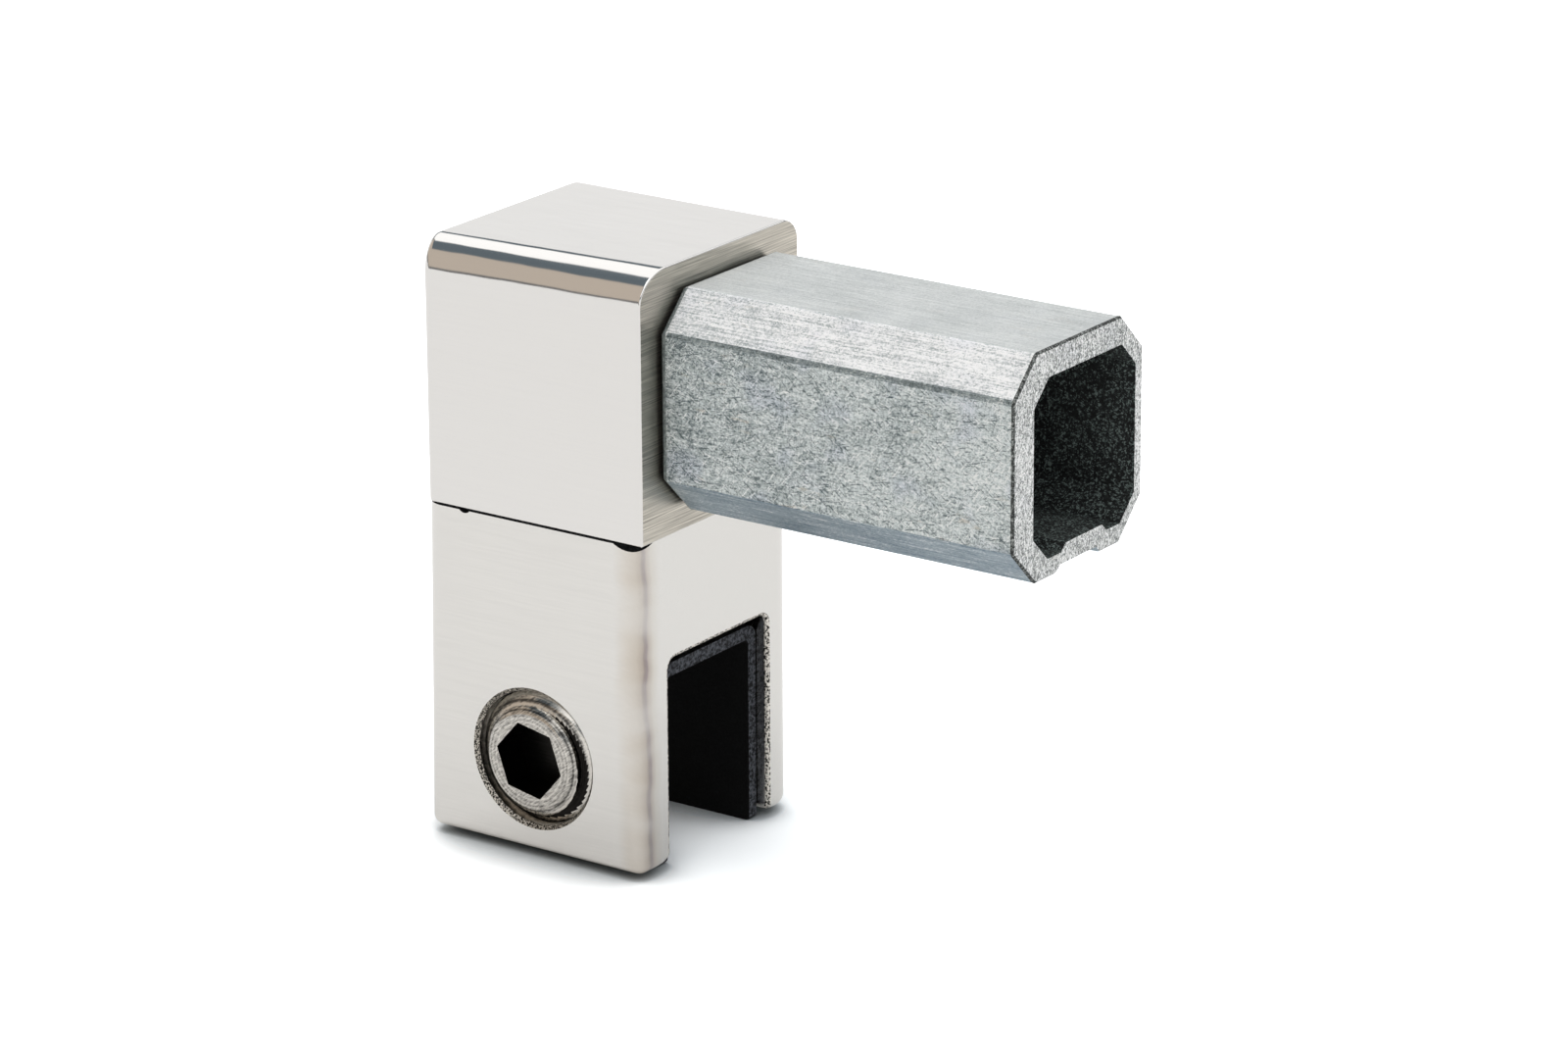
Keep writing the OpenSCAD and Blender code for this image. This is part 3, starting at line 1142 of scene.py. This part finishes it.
    def cutters(self, side: float) -> list[Solid]:
        """The groove, the hollow and the screw's hole in a casting of the given side."""
        root, end = self.low.x, self.high.x + MM
        groove = self.extruded(self.groove(side, 0.5)[::-1], self.middle, root - MM, end)
        inner = side - 2 * self.wall
        inner_chamfer = self.chamfer - self.wall * (2 - math.sqrt(2))
        centre = self.middle + Vector((0, self.hollow_offset, -self.hollow_drop)) * MM
        outline = self.octagon(inner, inner_chamfer, self.groove(inner))
        hollow = self.extruded(outline, centre, root + self.root * MM, end)
        round_off(hollow, self.creases(hollow), self.inner_round, 4)
        screw = centre_of("plug_screw")
        foot = Vector((root, screw.y, screw.z))
        hole = drill(PLUG_SCREW_BORE, self.root + 1, foot, Vector((1, 0, 0)))
        # The hollow and the hole take the hollow's painted shade.
        skins = (Skin.UNDER, Skin.HOLLOW, Skin.HOLLOW)
        return [finished(cutter, skin) for cutter, skin in zip((groove, hollow, hole), skins)]

    def build(self) -> None:
        """Makes the casting."""
        low, high = self.low, self.high
        side = (high.y - low.y) / MM
        solid = self.extruded(self.octagon(side, self.chamfer), self.middle, low.x, high.x)
        round_off(solid, sharp(edges_at(solid, x=low.x)), self.root_round, 8)
        round_off(solid, sharp(edges_at(solid, x=high.x)), self.end_break, 3)
        round_off(solid, self.creases(solid), self.crease_round, 4)
        for face in solid.faces:
            if face.calc_center_median().x > high.x - self.end_break * MM and face.normal.x < 0.95:
                face.material_index = Skin.BURR.value
        bm = carve(solid, self.cutters(side))
        bm.normal_update()
        # Skins by face direction paint light and shade on the casting's outside.
        for face in bm.faces:
            if face.material_index == Skin.SIDE.value:
                face.material_index = self.skin(face).value
        self.place("tube_plug_casting", bm, self.finishes(), "cast_zinc")


class Turned(Enum):
    """The set screw's finishes, by material index."""

    FACE = 0
    SOCKET = 1
    GROOVE = 2


@dataclass
class SetScrew(SubAssembly):
    """The hexagon socket set screw in the front wall."""

    node = "set_screw"
    socket_flats: float = 5.0
    socket_turn: float = 11.0
    socket_share: float = 0.75
    face_radius: float = 3.55
    face_round: float = 0.15
    cone_slope: float = 1.15
    pitch: float = 1.5
    thread_depth: float = 1.0
    thread_turn: float = 0.55
    rings: int = 90

    def __post_init__(self) -> None:
        """Adds the screw's length and radius."""
        super().__post_init__()
        self.length = (self.high.y - self.low.y) / MM
        self.radius = (self.high.x - self.low.x) / 2 / MM

    def cone(self, depth: float) -> float:
        """The cone's radius at a depth below the face."""
        return self.face_radius + self.face_round + (depth - self.face_round) * self.cone_slope

    def ridge(self, depth: float, turn: float) -> float:
        """The thread's radius at a depth below the face and at a share of a turn."""
        phase = (depth / self.pitch + turn + self.thread_turn) % 1
        return self.radius - self.thread_depth * min(1.0, max(0.0, 3.0 * abs(2 * phase - 1) - 1.0))

    def shank(self) -> Solid:
        """The screw's outside: a flat face, and a thread that starts on a cone."""
        low, axis, soft, radius = self.low, self.middle, self.face_round, self.radius
        step = (self.length - soft) / self.rings
        outline = [(0.0, 0.0), (self.face_radius - soft, 0.0), (self.face_radius, soft * 0.3)]
        outline += [(radius, soft + step * ring) for ring in range(self.rings + 1)]
        outline.append((0.0, self.length))
        bm = lathe(outline, Vector((axis.x, low.y, axis.z)), Vector((0, 1, 0)), 160)
        for vert in bm.verts:
            depth = (vert.co.y - low.y) / MM
            out = Vector((vert.co.x - axis.x, 0, vert.co.z - axis.z))
            if out.length > (radius - 0.01) * MM:
                ridge = self.ridge(depth, math.atan2(out.z, out.x) / math.tau)
                vert.co -= out.normalized() * (radius - min(ridge, self.cone(depth))) * MM
        bm.normal_update()
        for face in bm.faces:
            middle = face.calc_center_median()
            reach = math.hypot(middle.x - axis.x, middle.z - axis.z) / MM
            crest = min(self.cone((middle.y - low.y) / MM), radius)
            # Faces down in the thread's groove take painted shade.
            if self.face_radius < reach < crest - 0.3:
                face.material_index = Turned.GROOVE.value
        return bm

    def socket(self) -> Solid:
        """The cutter of the hexagon that the key fits."""
        axis, reach = self.middle, self.socket_flats / math.sqrt(3) * MM
        angles = [math.radians(self.socket_turn + 60 * side) for side in range(6)]
        turned = [(axis.x + reach * math.cos(a), axis.z - reach * math.sin(a)) for a in angles]
        corners = [Vector((x, self.low.y - MM, z)) for x, z in turned]
        depth = MM * (1 + self.socket_share * self.length)
        return finished(prism(corners, Vector((0, depth, 0))), Turned.SOCKET)

    def build(self) -> None:
        """Makes the screw with its cone, thread and socket."""
        axis = self.middle
        finishes = [
            # painted shade: its dark furrow rings stand for the shade of the thread's turns
            TurnedSteel("turned_screw_steel", axis, ring_pitch=0.3, roughness=0.16, furrow_tone_and_shade=0.12),
            # painted shade: the hexagon socket's walls are dark as the shade deep in it
            GroundStainless("broached_socket_painted_shade", colour="#2A2826", roughness=0.3, tone=0.5),
            # painted shade in the thread's grooves
            TurnedSteel("painted_shade_thread_groove", axis, colour="#242220", roughness=0.3),
        ]
        bm = carve(self.shank(), [self.socket()])
        self.place("set_screw_threaded", bm, finishes, "steel_fastener", Body.SCREW)


@dataclass
class Fasteners:
    """The fasteners and the disc that keep their CAD meshes."""

    edge_break: float = 0.08

    def build(self) -> None:
        """Gives each its own finish and breaks its edges."""
        finishes = {
            "plug_screw": ("zinc_plated_screw", Grain.ALONG_X, "#C4C2BC", 0.3),
            "spring_washer": ("spring_steel_washer", Grain.ALONG_X, "#8E8C88", 0.38),
            "body_bolt": ("zinc_plated_bolt", Grain.ALONG_Z, "#C4C2BC", 0.3),
            "pressure_disc": ("turned_pressure_disc", Grain.ALONG_Y, "#CFCBC4", 0.28),
        }
        for node, (name, axis, colour, roughness) in finishes.items():
            finish = TurnedSteel(name, centre_of(node), axis, colour, roughness=roughness, scuffed=0.4)
            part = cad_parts[node]
            part.data.materials.clear()
            part.data.materials.append(finish.build())
            bevel = part.modifiers.new("broken edges", "BEVEL")
            bevel.width, bevel.segments = self.edge_break * MM, 2
            bevel.limit_method, bevel.angle_limit = "ANGLE", SHARP_ANGLE
            log.info("%s: finished as %s", node, name)


# ---------------------------------------------
# Stage, light and camera


@dataclass
class Studio:
    """A pale floor under a soft, plain studio light."""

    floor_size: float = 4000.0
    wall: float = 1.0
    ceiling: float = 1.35
    lamp_wall: float = 2.6

    def build_floor(self) -> None:
        """Makes the floor that the clamp stands on."""
        bm = bmesh.new()
        bmesh.ops.create_grid(
            bm,
            x_segments=1,
            y_segments=1,
            size=self.floor_size * MM / 2,
            matrix=Matrix.Translation((0, 0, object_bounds()[0].z)),
        )
        mesh = bpy.data.meshes.new("floor")
        bm.to_mesh(mesh)
        bm.free()
        mesh.materials.append(WhiteCard("white_card_floor").build())
        floor = bpy.data.objects.new("floor", mesh)
        bpy.context.scene.collection.objects.link(floor)
        floor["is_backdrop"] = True

    def build_world(self) -> None:
        """Makes the light that comes from all round."""
        world = bpy.data.worlds.new("studio")
        world.use_nodes = True
        tree = world.node_tree
        tree.nodes.clear()
        coords = add_node(tree, "TexCoord").outputs["Generated"]
        parts = add_node(tree, "SeparateXYZ", Vector=coords).outputs
        height = add_node(tree, "MapRange", Value=parts["Z"], From_Min=-1, From_Max=1)

        def bands(*levels: tuple[float, tuple]) -> Node:
            """Colours that change with the height above the horizon, in degrees."""
            stops = [(0.5 + 0.5 * math.sin(math.radians(rise)), colour) for rise, colour in levels]
            return add_node(tree, "ValToRGB", stops=stops, Fac=height)

        wall, ceiling, lamp, shadow = (grey(at) for at in (self.wall, self.ceiling, self.lamp_wall, 0.2))
        dark, tan = linear("#69747C"), linear("#D0C4B7")
        back = bands((-90, wall), (20, wall), (22, dark), (31, dark), (34, ceiling), (90, ceiling))
        front = bands(
            (-90, shadow),
            (3, shadow),
            (5, tan),
            (42, tan),
            (44.5, dark),
            (59, dark),
            (62, lamp),
            (90, lamp),
        )
        behind = add_node(tree, "MapRange", Value=parts["Y"], From_Min=-0.03, From_Max=0.03)
        beside = add_node(tree, "MapRange", Value=parts["X"], From_Min=-0.15, From_Max=0.15)
        share = add_node(tree, "Math", {"operation": "MAXIMUM"}, in_0=behind, in_1=beside)
        colours = {"data_type": "RGBA"}
        room = add_node(tree, "Mix", colours, in_0=share, in_6=front, in_7=back).outputs[2]
        seen = add_node(tree, "LightPath").outputs["Is Camera Ray"]
        shown = add_node(tree, "Mix", colours, in_0=seen, in_6=room, in_7=grey(1.0)).outputs[2]
        background = add_node(tree, "Background", Color=shown, Strength=1.0)
        add_node(tree, "OutputWorld", Surface=background)
        bpy.context.scene.world = world


@dataclass
class Camera:
    """The camera, aimed at a point on the clamp."""

    aim: tuple[float, float, float] = (14.2, 0.88, 11.09)
    azimuth: float = 35.0
    elevation: float = 18.43
    roll: float = -0.286
    distance: float = 428.24
    lens: float = 140.12
    sensor: float = 36.0

    def build(self) -> None:
        """Places the camera and makes it the scene's."""
        a, e = math.radians(self.azimuth), math.radians(self.elevation)
        back = Vector((math.sin(a) * math.cos(e), -math.cos(a) * math.cos(e), math.sin(e)))
        data = bpy.data.cameras.new("camera")
        data.lens, data.sensor_width = self.lens, self.sensor
        data.clip_start, data.clip_end = 0.01, 10.0
        camera = bpy.data.objects.new("camera", data)
        camera.location = (Vector(self.aim) + back * self.distance) * MM
        turn = back.to_track_quat("Z", "Y").to_matrix() @ Matrix.Rotation(math.radians(self.roll), 3, "Z")
        camera.rotation_euler = turn.to_euler()
        bpy.context.scene.collection.objects.link(camera)
        bpy.context.scene.camera = camera


def main() -> None:
    """Builds the clamp, its stage and the camera."""
    logging.basicConfig(level=logging.INFO, format="%(name)s: %(message)s")
    bpy.context.scene.view_settings.view_transform = "Standard"
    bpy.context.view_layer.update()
    EndBlock().build()
    ClampBody().build()
    RubberLiner().build()
    TubePlug().build()
    SetScrew().build()
    Fasteners().build()
    studio = Studio()
    studio.build_floor()
    studio.build_world()
    Camera().build()


if __name__ == "__main__":
    main()
